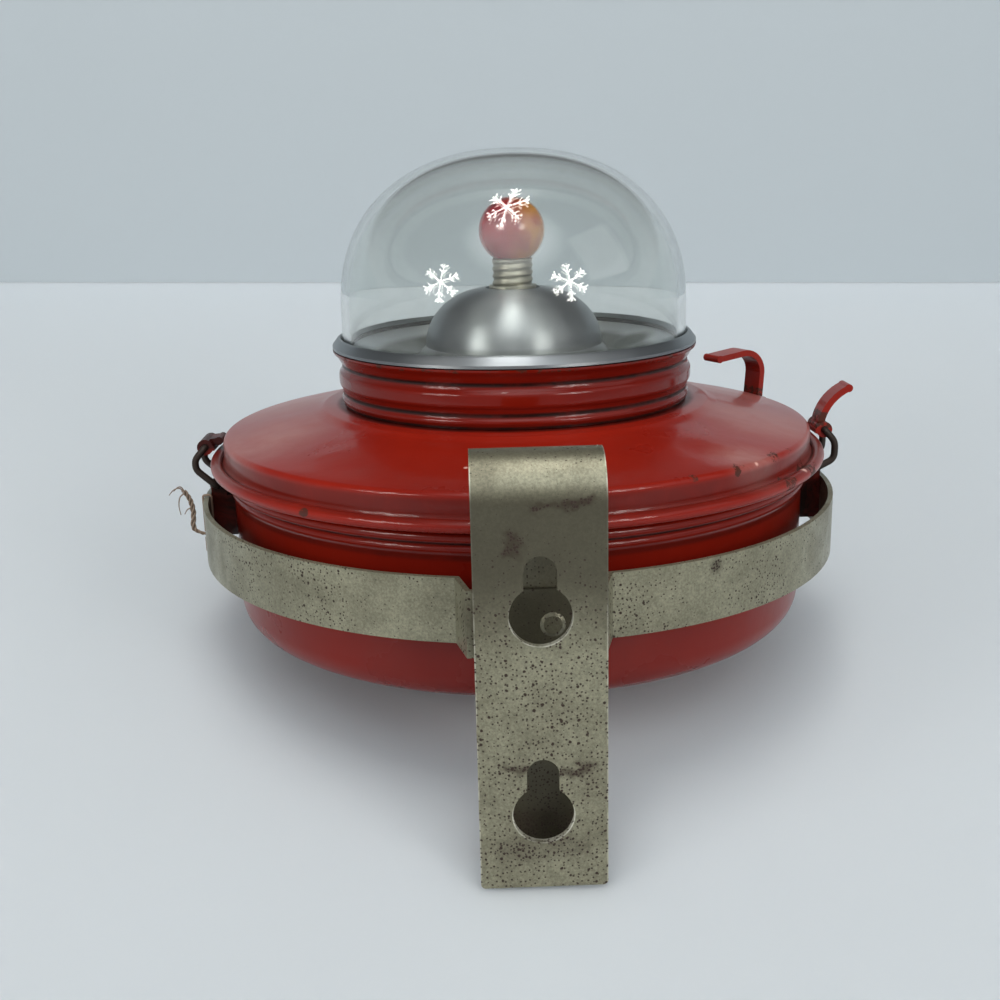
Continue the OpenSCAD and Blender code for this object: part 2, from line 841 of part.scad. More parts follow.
pan();
rim_gasket();
battery_tray();
cell_1();
cell_2();
cell_3();
cell_4();
cell_springs();
end_terminals();
link_strip();
feed_strip();
hoop_band();
hanger_plate();
spot_welds();
latch_base_left();
latch_base_right();
latch_base_rear();
base_rivets();
tie_wire();
lid();
socket_bridge();
socket_shell();
socket_insulator();
socket_contact();
reflector();
dome_gasket();
dome_lens();
collar();
bulb_contact();
bulb_base();
bulb_globe();
bulb_stem();
bulb_filament();
bail_left();
bail_right();
bail_rear();
lever_left();
lever_right();
lever_rear();
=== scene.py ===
# Battery warning lantern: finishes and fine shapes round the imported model
import math

import bmesh
import bpy
from mathutils import Matrix, Vector, noise


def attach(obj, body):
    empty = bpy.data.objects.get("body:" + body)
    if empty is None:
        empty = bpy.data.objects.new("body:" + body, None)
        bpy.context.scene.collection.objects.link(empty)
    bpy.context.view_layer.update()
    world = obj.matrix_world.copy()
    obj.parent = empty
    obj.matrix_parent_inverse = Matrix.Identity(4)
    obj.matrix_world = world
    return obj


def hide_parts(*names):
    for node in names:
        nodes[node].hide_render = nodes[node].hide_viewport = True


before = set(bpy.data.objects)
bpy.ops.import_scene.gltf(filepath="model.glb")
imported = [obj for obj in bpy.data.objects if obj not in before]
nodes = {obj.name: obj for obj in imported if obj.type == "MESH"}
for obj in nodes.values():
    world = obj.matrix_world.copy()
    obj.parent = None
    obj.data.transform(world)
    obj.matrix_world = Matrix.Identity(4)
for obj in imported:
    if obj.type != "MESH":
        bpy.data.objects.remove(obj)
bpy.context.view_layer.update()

mm = 0.001


def linearColor(hexText):
    channels = [int(hexText[i:i + 2], 16) / 255 for i in (0, 2, 4)]
    return [c / 12.92 if c <= 0.04045 else ((c + 0.055) / 1.055) ** 2.4 for c in channels] + [1]


def nodeAdder(owner):
    # Empties the node tree of a material or the world, and returns what adds a node to it
    owner.use_nodes = True
    tree = owner.node_tree
    tree.nodes.clear()

    def add(kind, inputs=None, settings=None):
        # An input is a number or vector, a hex colour, or the node or output that feeds it
        node = tree.nodes.new("ShaderNode" + kind)
        for key, value in (settings or {}).items():
            setattr(node, key, value)
        for key, value in (inputs or {}).items():
            if isinstance(value, str):
                value = linearColor(value)
            if isinstance(value, bpy.types.Node):
                value = next(output for output in value.outputs if output.enabled)
            if isinstance(value, bpy.types.NodeSocket):
                tree.links.new(value, node.inputs[key])
            else:
                node.inputs[key].default_value = value
        return node

    return add


def newObject(name, data):
    piece = bpy.data.objects.new(name, data)
    bpy.context.scene.collection.objects.link(piece)
    return piece


# A 45 mm lens a third of a metre away, just below the dome's crown
camera = {
    "place": (-12.47, -324.6, 114.04),   # mm
    "heading": 1.39,                     # degrees from +Y towards +X
    "down": 15.06,
    "roll": -1.36,
    "focal": 45,                         # mm
    "sensor": 36,
    "clip": (0.01, 20),                  # metres
}


def makeCamera():
    data = bpy.data.cameras.new("camera")
    data.lens = camera["focal"]
    data.sensor_width = camera["sensor"]
    data.sensor_fit = "HORIZONTAL"
    data.clip_start, data.clip_end = camera["clip"]
    piece = newObject("camera", data)
    turn = (Matrix.Rotation(-math.radians(camera["heading"]), 4, "Z")
            @ Matrix.Rotation(math.radians(90 - camera["down"]), 4, "X")
            @ Matrix.Rotation(math.radians(camera["roll"]), 4, "Z"))
    piece.matrix_world = Matrix.Translation(Vector(camera["place"]) * mm) @ turn
    bpy.context.scene.camera = piece


makeCamera()
print("camera ready")

# Settings that many nodes share. A colour mix takes inputs 0, 6 and 7, a value mix 0, 2 and 3,
# and a range maps input 0 from 1..2 to 3..4
times = {"operation": "MULTIPLY", "use_clamp": True}
less = {"operation": "SUBTRACT", "use_clamp": True}
most = {"operation": "MAXIMUM", "use_clamp": True}
eased = {"interpolation_type": "SMOOTHSTEP"}
tinted = {"data_type": "RGBA"}


def newMaterial(name):
    material = bpy.data.materials.new(name)
    add = nodeAdder(material)
    return material, add, add("TexCoord").outputs["Object"]


def perMm(size):
    # Noise scale whose features are about this many millimetres across
    return 1000 / size


def axisRadius(add, where):
    # Distance from the lantern's axis, in metres
    flat = add("VectorMath", {0: where, 1: (1, 1, 0)}, {"operation": "MULTIPLY"})
    return add("VectorMath", {0: flat}, {"operation": "LENGTH"})


speck = {
    "notch": 0.8,      # mm from notch to notch in a speck's edge
    "depth": 0.4,      # mm that a notch goes in
    "growth": 2.5,     # how soon a speck reaches its full size as the share rises
    "edge": 9,         # how steep its edge is
}


def unrolled(add, where, radius):
    # The surface rolled out flat round the lantern's axis, so that specks keep their size on it
    parts = add("SeparateXYZ", {0: where}).outputs
    turn = add("Math", {0: parts["Y"], 1: parts["X"]}, {"operation": "ARCTAN2"})
    along = add("Math", {0: turn, 1: radius * mm}, {"operation": "MULTIPLY"})
    up = add("Math", {0: parts["Z"], 1: axisRadius(add, where)}, {"operation": "SUBTRACT"})
    flat = add("CombineXYZ", {"X": along, "Y": up})
    frayed = add("TexNoise", {0: where, "Scale": perMm(speck["notch"]), "Detail": 2})
    return add("VectorMath", {0: frayed.outputs["Color"], 1: [speck["depth"] * mm] * 3, 2: flat},
               {"operation": "MULTIPLY_ADD"})


def dots(add, flat, size, amount, radius):
    # Specks of up to this radius in mm, one to a cell of this size, in this share of the cells
    cells = add("TexVoronoi", {0: flat, "Scale": perMm(size)}, {"voronoi_dimensions": "2D"})
    number = add("SeparateColor", {0: cells.outputs["Color"]})
    over = add("Math", {0: amount, 1: number}, less)
    grown = add("Math", {0: over, 1: speck["growth"]}, times)
    reach = add("Math", {0: grown, 1: radius / size}, times)
    inside = add("Math", {0: reach, 1: cells.outputs["Distance"]}, less)
    return add("Math", {0: inside, 1: speck["edge"] * size}, times)


def anyOf(add, masks):
    result = masks[0]
    for mask in masks[1:]:
        result = add("Math", {0: result, 1: mask}, most)
    return result


def band(add, value, middle, half, soft):
    # 1 within half a width of the middle, falling to 0 over soft, all in mm
    away = add("Math", {0: value, 1: middle * mm}, {"operation": "SUBTRACT"})
    size = add("Math", {0: away}, {"operation": "ABSOLUTE"})
    return add("MapRange", {0: size, 1: (half + soft) * mm, 2: half * mm}, eased)


# Marks on a surface, each 1 where it is strongest
def heightBand(add, where, middle, half, soft):
    return band(add, add("SeparateXYZ", {0: where}).outputs["Z"], middle, half, soft)


def ringBand(add, where, middle, half, soft):
    return band(add, axisRadius(add, where), middle, half, soft)


def spot(add, where, centre, radius, soft):
    away = add("VectorMath", {0: where, 1: Vector(centre) * mm}, {"operation": "DISTANCE"})
    return add("MapRange", {0: away, 1: radius * mm, 2: radius * mm * (1 - soft)}, eased)


def rimSpot(add, where, azimuth, out, height, radius):
    # A soft spot placed by its direction and its distance from the axis
    a = math.radians(azimuth)
    return spot(add, where, (out * math.cos(a), out * math.sin(a), height), radius, 0.8)


def streak(add, where, middle, half, soft):
    # A ragged patch of this half width and height on the bracket, with ends that fade
    ragged = add("TexNoise", {0: where, "Scale": perMm(3.5), "Detail": 3}).outputs["Color"]
    ragged = add("VectorMath", {0: ragged, 1: [0.5] * 3}, {"operation": "SUBTRACT"})
    moved = add("VectorMath", {0: ragged, 1: [6 * mm] * 3, 2: where}, {"operation": "MULTIPLY_ADD"})
    parts = add("SeparateXYZ", {0: moved}).outputs
    return add("Math", {0: band(add, parts["X"], middle[0], half[0], soft),
                        1: band(add, parts["Z"], middle[1], half[1], soft)}, times)


def markMask(add, where, marks):
    # A mark is its function, that one's numbers in mm, and its strength. The strongest one counts
    return anyOf(add, [add("Math", {0: draw(add, where, *numbers), 1: strength}, times)
                       for draw, *numbers, strength in marks])


# Baked enamel on pressed steel: a deep glossy red with a faint orange peel, chalked where light has
# faded it, with pinhole chips and edges rubbed through to brown steel. Pale chalk also paints a
# sheen, grime colour and a darker tone paint shade
enamel = {
    "deep": "72120A",
    "bright": "96200F",
    "chalk": "A0706A",
    "steel": "3E2218",
    "chip": "D2A296",
    # Dark red for grime and for painted shade in grooves, creases and hollows
    "grime": "1E0A07",
    "roughness": 0.27,
    "gloss": 0.32,
    "glossRoughness": 0.09,
    "cloud": 38,           # mm from one drift of tone to the next
    "smear": 11,           # the same for chalk and grime
    "ragged": 2.4,         # the same for worn edges
    "peel": 2.6,           # mm from dimple to dimple
    "pits": (4.5, 0.12, 0.24),       # mm apart, share of places, mm of radius
    "pinholes": (2.6, 0.16, 0.17),
}


def enamelMaterial(name, wear=(), chalk=(), grime=(), chips=(), dull=0.0, tone=1.0):
    material, add, where = newMaterial(name)
    cloud = add("TexNoise", {0: where, "Scale": perMm(enamel["cloud"]), "Detail": 5,
                             "Roughness": 0.6})
    smear = add("TexNoise", {0: where, "Scale": perMm(enamel["smear"]), "Detail": 7,
                             "Roughness": 0.7, "Distortion": 0.8})
    color = add("Mix", {0: cloud, 6: enamel["deep"], 7: enamel["bright"]}, tinted)
    # The piece's enamel darkened as a whole by its tone: painted shade
    color = add("HueSaturation", {"Value": tone, "Color": color})
    base = enamel["roughness"] + dull
    rough = add("Mix", {0: cloud, 2: base - 0.03, 3: base + 0.05})
    # Chalk, which also paints sheen, and grime, which also paints shade in grooves and hollows, lie
    # in patches that the smear breaks up
    for marks, hexText, matt, (low, high, least, full) in (
            (chalk, enamel["chalk"], 0.5, (0.3, 0.66, 0.2, 0.7)),
            (grime, enamel["grime"], 0.6, (0.25, 0.55, 0.5, 1))):
        if marks:
            patchy = add("MapRange", {0: smear, 1: low, 2: high, 3: least, 4: full})
            mask = add("Math", {0: markMask(add, where, marks), 1: patchy}, times)
            color = add("Mix", {0: mask, 6: color, 7: hexText}, tinted)
            rough = add("Mix", {0: mask, 2: rough, 3: matt})
    flat = unrolled(add, where, 70)
    size, share, radius = enamel["pits"]
    bare = add("Math", {0: dots(add, flat, size, share, radius), 1: 0.8}, times)
    color = add("Mix", {0: bare, 6: color, 7: enamel["steel"]}, tinted)
    if wear:
        ragged = add("TexNoise", {0: where, "Scale": perMm(enamel["ragged"]), "Detail": 6,
                                  "Roughness": 0.75})
        ragged = add("Math", {0: ragged, 1: 0.9}, times)
        edges = add("Math", {0: markMask(add, where, wear), 1: 0.4}, times)
        level = add("Math", {0: edges, 1: ragged}, {"operation": "ADD", "use_clamp": True})
        rubbed = add("MapRange", {0: level, 1: 0.79, 2: 0.86}, eased)
        thin = add("Math", {0: rubbed, 1: 0.9}, times)
        color = add("Mix", {0: thin, 6: color, 7: enamel["steel"]}, tinted)
        bare = anyOf(add, [bare, rubbed])
    size, share, radius = enamel["pinholes"]
    light = add("Math", {0: dots(add, flat, size, share, radius), 1: 0.6}, times)
    if chips:
        light = anyOf(add, [light, markMask(add, where, chips)])
    color = add("Mix", {0: light, 6: color, 7: enamel["chip"]}, tinted)
    rough = add("Mix", {0: bare, 2: rough, 3: 0.62})
    peel = add("TexNoise", {0: where, "Scale": perMm(enamel["peel"]), "Detail": 2})
    relief = add("Math", {0: add("Math", {0: peel, 1: 0.5}, times),
                          1: add("Math", {0: bare, 1: 0.4}, times)}, less)
    bump = add("Bump", {"Strength": 0.4, "Distance": 0.12 * mm, "Height": relief})
    shader = add("BsdfPrincipled", {
        "Base Color": color, "Roughness": rough, "Normal": bump, "Coat Normal": bump,
        "IOR": 1.5, "Specular IOR Level": 0.1, "Coat Weight": enamel["gloss"],
        "Coat Roughness": enamel["glossRoughness"]})
    add("OutputMaterial", {"Surface": shader})
    return material


# Nickel-plated strip steel, rolled: warm grey with a soft sheen that drifts in blotches,
# its plating pitted with rust specks a few tenths of a millimetre across
strap = {
    "metal": "92907A",
    "dull": "767360",
    # Pale colour of the painted highlight along the bracket's edges
    "rubbed": "D2D0C0",
    "stain": "4A4030",
    "shade": "3F3B2E",
    "crust": "2E2014",
    "rust": "2A1B12",
    "roughness": 0.36,
    "metallic": 0.45,
    "cloud": 11,                       # mm from one blotch to the next
    "salt": 0.55,                      # the same for the plating's fine grain
    # mm apart, share of places, mm of radius, strength
    "specks": ((0.95, 0.95, 0.25, 0.95), (1.7, 0.6, 0.36, 1), (5.5, 0.35, 0.52, 1)),
    "patch": (0.62, 0.33),             # mm apart and mm of radius of the dots in a rust patch
}


def strapMaterial(name, reach, dense, patches, dim, bright=None):
    material, add, where = newMaterial(name)
    cloud = add("TexNoise", {0: where, "Scale": perMm(strap["cloud"]), "Detail": 6,
                             "Roughness": 0.62, "Distortion": 0.3})
    blotch = add("MapRange", {0: cloud, 1: 0.34, 2: 0.64})
    color = add("Mix", {0: blotch, 6: strap["dull"], 7: strap["metal"]}, tinted)
    salt = add("TexNoise", {0: where, "Scale": perMm(strap["salt"]), "Detail": 3,
                            "Roughness": 0.7})
    salt = add("MapRange", {0: salt, 1: 0.36, 2: 0.64, 3: 0.74, 4: 1.16})
    color = add("HueSaturation", {"Color": color, "Value": salt})
    # Painted highlight along the edges, where given
    if bright:
        color = add("Mix", {0: bright(add, where), 6: color, 7: strap["rubbed"]}, tinted)
    thick = dense(add, where)
    flat = unrolled(add, where, reach)
    patch = markMask(add, where, patches)
    rusty = [dots(add, flat, strap["patch"][0], patch, strap["patch"][1])]
    for size, share, radius, strength in strap["specks"]:
        amount = add("Math", {0: thick, 1: share}, times)
        rusty.append(add("Math", {0: dots(add, flat, size, amount, radius), 1: strength}, times))
    rusty = anyOf(add, rusty)
    layers = ((dim(add, where), 1, "shade"), (thick, 0.14, "stain"), (patch, 0.72, "crust"),
              (rusty, 1, "rust"))
    for mask, strength, key in layers:
        amount = add("Math", {0: mask, 1: strength}, times)
        color = add("Mix", {0: amount, 6: color, 7: strap[key]}, tinted)
    rough = add("Mix", {0: blotch, 2: strap["roughness"] + 0.1, 3: strap["roughness"] - 0.06})
    relief = add("Math", {0: add("Math", {0: cloud, 1: 0.5}, times),
                          1: add("Math", {0: rusty, 1: 0.4}, times)}, less)
    shader = add("BsdfPrincipled", {
        "Base Color": color,
        "Roughness": add("Mix", {0: rusty, 2: rough, 3: 0.85}),
        "Metallic": add("Mix", {0: rusty, 2: strap["metallic"], 3: 0.02}),
        "Normal": add("Bump", {"Strength": 0.5, "Distance": 0.1 * mm, "Height": relief})})
    add("OutputMaterial", {"Surface": shader})
    return material


# Plain pieces: one colour that drifts a little, with a fine tooth in the gloss of metals
# and an even, duller face on rubber, fibre board, glass and card. Each row is colour,
# roughness, metallic, and mm from one cloud of tone to the next
plain = {
    "tinned sheet": ("B4B6B3", 0.36, 0.9, 5.0),
    "strip brass": ("B79248", 0.34, 0.95, 6.0),
    "dull nickel plate": ("A9A598", 0.34, 0.9, 2.5),
    "oxidised wire": ("352B26", 0.5, 0.6, 1.5),
    "frayed tie wire": ("94806F", 0.55, 0.4, 1.2),
    "drawn tungsten": ("4B4A48", 0.45, 0.9, 1.0),
    "moulded rubber seal": ("2B2926", 0.75, 0, 4),
    "pressed fibre board": ("6B3F24", 0.7, 0, 2),
    "pressed lamp stem": ("C9CBC6", 0.25, 0, 3),
    "dry cell card jacket": ("2F3B52", 0.5, 0, 12),
}
metalGrain = {"shade": 0.72, "detail": 5, "relief": 0.2, "depth": 0.05}    # depth in mm
softGrain = {"shade": 0.7, "detail": 4, "relief": 0.25, "depth": 0.08}


def plainMaterial(name):
    hexText, roughness, metallic, size = plain[name]
    grain = metalGrain if metallic else softGrain
    material, add, where = newMaterial(name)
    cloud = add("TexNoise", {0: where, "Scale": perMm(size), "Detail": grain["detail"]})
    shade = add("HueSaturation", {"Value": grain["shade"], "Color": hexText})
    if metallic:
        roughness = add("Mix", {0: cloud, 2: roughness - 0.08, 3: roughness + 0.1})
    bump = {"Strength": grain["relief"], "Distance": grain["depth"] * mm, "Height": cloud}
    shader = add("BsdfPrincipled", {
        "Base Color": add("Mix", {0: cloud, 6: shade, 7: hexText}, tinted),
        "Metallic": metallic, "Roughness": roughness, "Normal": add("Bump", bump)})
    add("OutputMaterial", {"Surface": shader})
    return material


# Spun aluminium, satin: fine rings from the spinning tool, tarnish in the trough
spun = {
    "dark": "87898C",
    "light": "A3A5A8",
    "shelf": "C4C6C8",
    "rim": "8D9194",
    "tarnish": "2B2C22",
    "shelfFrom": (34, 38),     # mm from the axis, where one tone turns into the next
    "rimFrom": (43.6, 44.2),
    "tooth": 0.35,             # mm from one ring to the next
    "pull": 0.8,               # how far the rings draw a highlight out
    # The trough's tarnish: middle, half width and soft edge, from the axis and in height
    "trough": ((29.5, 4.5, 3.5), (67, 2.6, 1.2)),
    "patches": [(spot, (31.5, 10, 68), 9, 0.6, 1), (spot, (-27, 6, 68), 6, 0.6, 1)],
}


def aluminiumMaterial():
    material, add, where = newMaterial("spun aluminium")
    radius = axisRadius(add, where)
    height = add("SeparateXYZ", {0: where}).outputs["Z"]
    cloud = add("TexNoise", {0: where, "Scale": perMm(8), "Detail": 5})
    color = add("Mix", {0: cloud, 6: spun["dark"], 7: spun["light"]}, tinted)
    near, far = spun["shelfFrom"]
    shelf = add("MapRange", {0: radius, 1: near * mm, 2: far * mm}, eased)
    color = add("Mix", {0: shelf, 6: color, 7: spun["shelf"]}, tinted)
    near, far = spun["rimFrom"]
    rim = add("MapRange", {0: radius, 1: near * mm, 2: far * mm})
    color = add("Mix", {0: rim, 6: color, 7: spun["rim"]}, tinted)
    across, up = spun["trough"]
    trough = add("Math", {0: band(add, radius, *across), 1: band(add, height, *up)}, times)
    ragged = add("MapRange", {0: cloud, 1: 0.25, 2: 0.65, 3: 0.7, 4: 0.95})
    trough = add("Math", {0: trough, 1: ragged}, times)
    tarnish = anyOf(add, [trough, markMask(add, where, spun["patches"])])
    level = add("Math", {0: radius, 1: height}, {"operation": "SUBTRACT"})
    rings = add("TexNoise", {"W": level, "Scale": perMm(spun["tooth"]), "Detail": 2},
                {"noise_dimensions": "1D"})
    shader = add("BsdfPrincipled", {
        "Base Color": add("Mix", {0: tarnish, 6: color, 7: spun["tarnish"]}, tinted),
        "Metallic": add("Mix", {0: tarnish, 2: 1.0, 3: 0.35}),
        "Roughness": add("Mix", {0: cloud, 2: 0.36, 3: 0.48}),
        "Normal": add("Bump", {"Strength": 0.12, "Distance": 0.04 * mm, "Height": rings}),
        "Tangent": add("Tangent", {}, {"direction_type": "RADIAL", "axis": "Z"}),
        "Anisotropic": spun["pull"], "Anisotropic Rotation": 0.25})
    add("OutputMaterial", {"Surface": shader})
    return material


# Moulded clear dome: hardly any tint, and a little dust. Lamps shine straight through it,
# so that what is inside is lit
clear = {"tint": "F2F4F2", "roughness": 0.015, "ior": 1.49, "dust": "7C7F78", "shadow": "EEF2F0"}


def domeMaterial():
    material, add, where = newMaterial("clear moulded dome")
    haze = add("TexNoise", {0: where, "Scale": perMm(26), "Detail": 4})
    crowd = add("MapRange", {0: haze, 1: 0.42, 2: 0.66, 4: 0.3})
    dust = dots(add, unrolled(add, where, 40), 1.6, crowd, 0.14)
    glass = add("BsdfPrincipled", {
        "Base Color": clear["tint"], "Roughness": clear["roughness"], "IOR": clear["ior"],
        "Transmission Weight": 1})
    film = add("BsdfPrincipled", {"Base Color": clear["dust"], "Roughness": 0.75})
    solid = add("MixShader", {0: add("Math", {0: dust, 1: 0.6}, times), 1: glass, 2: film})
    through = add("BsdfTransparent", {"Color": clear["shadow"]})
    shadow = add("LightPath").outputs["Is Shadow Ray"]
    add("OutputMaterial", {"Surface": add("MixShader", {0: shadow, 1: solid, 2: through})})
    return material


# Bulb glass dipped in red lamp lacquer, turning amber in patches towards one side
lacquer = {
    "dark": "5E0A10", "light": "96202A", "thin": "A06A28",
    "roughness": 0.12, "clear": 0.15, "gloss": 0.3,
}


def lacquerMaterial():
    material, add, where = newMaterial("red lamp lacquer")
    cloud = add("TexNoise", {0: where, "Scale": perMm(6), "Detail": 4, "Distortion": 0.4})
    side = add("SeparateXYZ", {0: where}).outputs["X"]
    thin = add("Math", {0: add("MapRange", {0: side, 1: -2 * mm, 2: 5 * mm}),
                        1: add("MapRange", {0: cloud, 1: 0.34, 2: 0.6})}, times)
    color = add("Mix", {0: cloud, 6: lacquer["dark"], 7: lacquer["light"]}, tinted)
    shader = add("BsdfPrincipled", {
        "Base Color": add("Mix", {0: thin, 6: color, 7: lacquer["thin"]}, tinted),
        "Roughness": lacquer["roughness"], "IOR": 1.5, "Transmission Weight": lacquer["clear"],
        "Coat Weight": lacquer["gloss"], "Coat Roughness": 0.05})
    add("OutputMaterial", {"Surface": shader})
    return material


def arc(centre, radius, start, end, steps):
    turn = [math.radians(start + (end - start) * i / steps) for i in range(steps + 1)]
    return [(centre[0] + radius * math.cos(a), centre[1] + radius * math.sin(a)) for a in turn]


def sheetOutline(path, thickness):
    # Closed outline of a sheet that follows the path, with its thickness on the left
    points = [Vector(p) for p in path]
    inner = []
    for i, point in enumerate(points):
        before = points[i] - points[i - 1] if i else points[1] - points[0]
        after = points[i + 1] - points[i] if i < len(points) - 1 else before
        a = Vector((-before.y, before.x)).normalized()
        b = Vector((-after.y, after.x)).normalized()
        m = (a + b).normalized()
        inner.append(point + m * (thickness / max(0.3, m.dot(a))))
    return [tuple(p) for p in points] + [tuple(p) for p in reversed(inner)]


def meshObject(name, vertices, faces, material, sharp=38):
    # Corners are given in mm; edges stay sharp beyond so many degrees
    data = bpy.data.meshes.new(name)
    data.from_pydata([tuple(c * mm for c in v) for v in vertices], [], faces)
    data.validate()
    shape = bmesh.new()
    shape.from_mesh(data)
    bmesh.ops.remove_doubles(shape, verts=shape.verts, dist=1e-7)
    bmesh.ops.recalc_face_normals(shape, faces=shape.faces)
    shape.to_mesh(data)
    shape.free()
    data.shade_smooth()
    data.set_sharp_from_angle(angle=math.radians(sharp))
    data.materials.append(material)
    return newObject(name, data)


def turned(name, outline, material, body, stands=(), steps=288, shape=None, sharp=38):
    # A closed outline of radius and height, turned round the lantern's axis
    vertices, faces = [], []
    count = len(outline)
    for i in range(steps):
        angle = 2 * math.pi * i / steps
        for r, z in outline:
            x, y = r * math.cos(angle), r * math.sin(angle)
            vertices.append(shape(x, y, z, r, angle) if shape else (x, y, z))
        j = (i + 1) % steps
        for k in range(count):
            n = (k + 1) % count
            faces.append((i * count + k, j * count + k, j * count + n, i * count + n))
    piece = meshObject(name, vertices, faces, material, sharp)
    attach(piece, body)
    if stands:
        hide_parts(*stands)


def smoothPath(points, parts=8):
    # A Catmull-Rom curve through the points
    points = [Vector(p) for p in points]
    padded = [2 * points[0] - points[1]] + points + [2 * points[-1] - points[-2]]
    made = []
    for i in range(1, len(padded) - 2):
        a, b, c, d = padded[i - 1:i + 3]
        for k in range(parts):
            t = k / parts
            made.append(0.5 * (2 * b + (c - a) * t + (2 * a - 5 * b + 4 * c - d) * t * t
                               + (3 * b - a - 3 * c + d) * t ** 3))
    return made + [points[-1]]


def roundedPath(points, radius, parts=6):
    # Straight runs with each corner turned by a short curve
    points = [Vector(p) for p in points]
    made = [points[0]]
    for a, b, c in zip(points, points[1:], points[2:]):
        reach = min(radius, (a - b).length * 0.45, (c - b).length * 0.45)
        start, end = b + (a - b).normalized() * reach, b + (c - b).normalized() * reach
        for k in range(parts + 1):
            t = k / parts
            made.append(start * (1 - t) ** 2 + b * 2 * t * (1 - t) + end * t * t)
    return made + [points[-1]]


def tube(name, points, radius, material, body, stands=(), sides=14, taper=0.0):
    points = [Vector(p) for p in points]
    count = len(points)
    vertices, faces = [], []
    side = (points[1] - points[0]).normalized().orthogonal().normalized()
    for i, point in enumerate(points):
        ahead = (points[min(i + 1, count - 1)] - points[max(i - 1, 0)]).normalized()
        side = (side - ahead * side.dot(ahead)).normalized()
        across = ahead.cross(side)
        size = radius * (1 - taper * i / (count - 1))
        for k in range(sides):
            turn = 2 * math.pi * k / sides
            vertices.append(point + (side * math.cos(turn) + across * math.sin(turn)) * size)
    for i in range(count - 1):
        for k in range(sides):
            n = (k + 1) % sides
            faces.append((i * sides + k, i * sides + n, (i + 1) * sides + n, (i + 1) * sides + k))
    faces.append(tuple(range(sides - 1, -1, -1)))
    faces.append(tuple(range((count - 1) * sides, count * sides)))
    piece = meshObject(name, vertices, faces, material, 60)
    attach(piece, body)
    if stands:
        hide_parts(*stands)


def around(azimuth, points):
    # Points given as outward, along the rim and up, turned to their place on the rim
    a = math.radians(azimuth)
    c, s = math.cos(a), math.sin(a)
    return [(x * c - y * s, x * s + y * c, z) for x, y, z in points]


def dress(name, material, bevel=0.0, sharp=30):
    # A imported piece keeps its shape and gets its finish, with its edges eased
    piece = nodes[name]
    piece.data.materials.clear()
    piece.data.materials.append(material)
    piece.data.shade_smooth()
    piece.data.set_sharp_from_angle(angle=math.radians(sharp))
    if bevel:
        flat = piece.modifiers.new("flat faces", "DECIMATE")
        flat.decimate_type = "DISSOLVE"
        flat.angle_limit = math.radians(0.8)
        edge = piece.modifiers.new("eased edges", "BEVEL")
        edge.width = bevel * mm
        edge.segments = 2
        edge.limit_method = "ANGLE"
        edge.angle_limit = math.radians(40)
        edge.harden_normals = True


# Sizes of every piece are in mm, round the lantern's axis
pan = {
    "radius": 74, "sheet": 0.8, "corner": 7, "top": 39.6, "curl": 1.3, "rib": 0.7,
    "ribHeight": 35.5, "dent": 0.28,
}


def makePan():
    r, top, edge = pan["radius"], pan["top"], (pan["radius"] + 0.6, pan["top"] - pan["curl"])
    path = ([(0.05, 0.0), (r * 0.3, 0.0), (r * 0.6, 0.0)]
            + arc((r - pan["corner"], pan["corner"]), pan["corner"], -90, 0, 14)
            + [(r, 12.0), (r, 18.0), (r, 24.0), (r, 29.0), (r, 33.4), (r + 0.06, 34.0)]
            + arc((r + pan["rib"] - 1.3, pan["ribHeight"]), 1.3, -50, 50, 10)
            + [(r + 0.06, 37.0), (r, 37.5), (r, top - 1.0)])

    def dented(x, y, z, radius, angle):
        # The wall is pressed in a little here and there, but not its corner or ribs
        if radius > 60:
            spread = Vector((math.cos(angle) * 2.2, math.sin(angle) * 2.2, z * 0.035))
            depth = noise.noise(spread) * pan["dent"]
            depth = abs(depth * min(1.0, max(0.0, (z - 3) / 8)) * min(1.0, max(0.0, (33 - z) / 8)))
            x, y = x - math.cos(angle) * depth, y - math.sin(angle) * depth
        return x, y, z

    # Painted shade: the pan's enamel is darker as a whole, and darker still in bands just above and
    # below the rib under its rim
    finish = enamelMaterial(
        "enamelled steel pan", wear=[(heightBand, 38.6, 0.8, 1.0, 0.3)],
        grime=[(heightBand, 37, 0.2, 0.5, 1), (heightBand, 33.6, 0.2, 0.9, 0.5)], tone=0.72)
    turned("panShell", sheetOutline(path, pan["sheet"]), finish, "base", ("pan",), shape=dented)
    roll = arc(edge, pan["curl"], 118, -112, 18) + arc(edge, pan["curl"] - 0.35, -112, 118, 18)
    turned("panEdge", roll, finish, "base")


makePan()

lid = {
    "beadCentre": 77.9, "bead": 1.5, "beadHeight": 41.8, "flange": 40.8, "wall": 75.8,
    "sheet": 0.8, "flare": 2.2, "shoulder": 48.6, "round": 1.4, "land": 54.9,
    "landRadius": 48.0, "neck": 43.6, "neckTop": 65.9,
    # Direction in degrees, distance from the axis, height, and size
    "rubs": ((-52, 75.2, 48.3, 4.5), (-41, 75.2, 48.3, 5), (-35, 75.2, 48.3, 3.5),
             (-62, 75.2, 48.3, 3), (-30, 78.6, 42.4, 9), (-40, 78.6, 42.4, 6),
             (-128, 79, 42, 3)),
    # Faded enamel, and on the lid's left and right a pale painted sheen
    "faded": ((-160, 68, 50.5, 26), (165, 64, 51, 28), (-18, 64, 51, 26), (16, 58, 52, 30),
              (-47, 73, 49, 12), (90, 62, 51, 40)),
    "chips": ((-47, 75.6, 48.2, 0.8), (-33, 78.2, 43.2, 1.2), (-102, 64, 51.0, 0.7)),
}


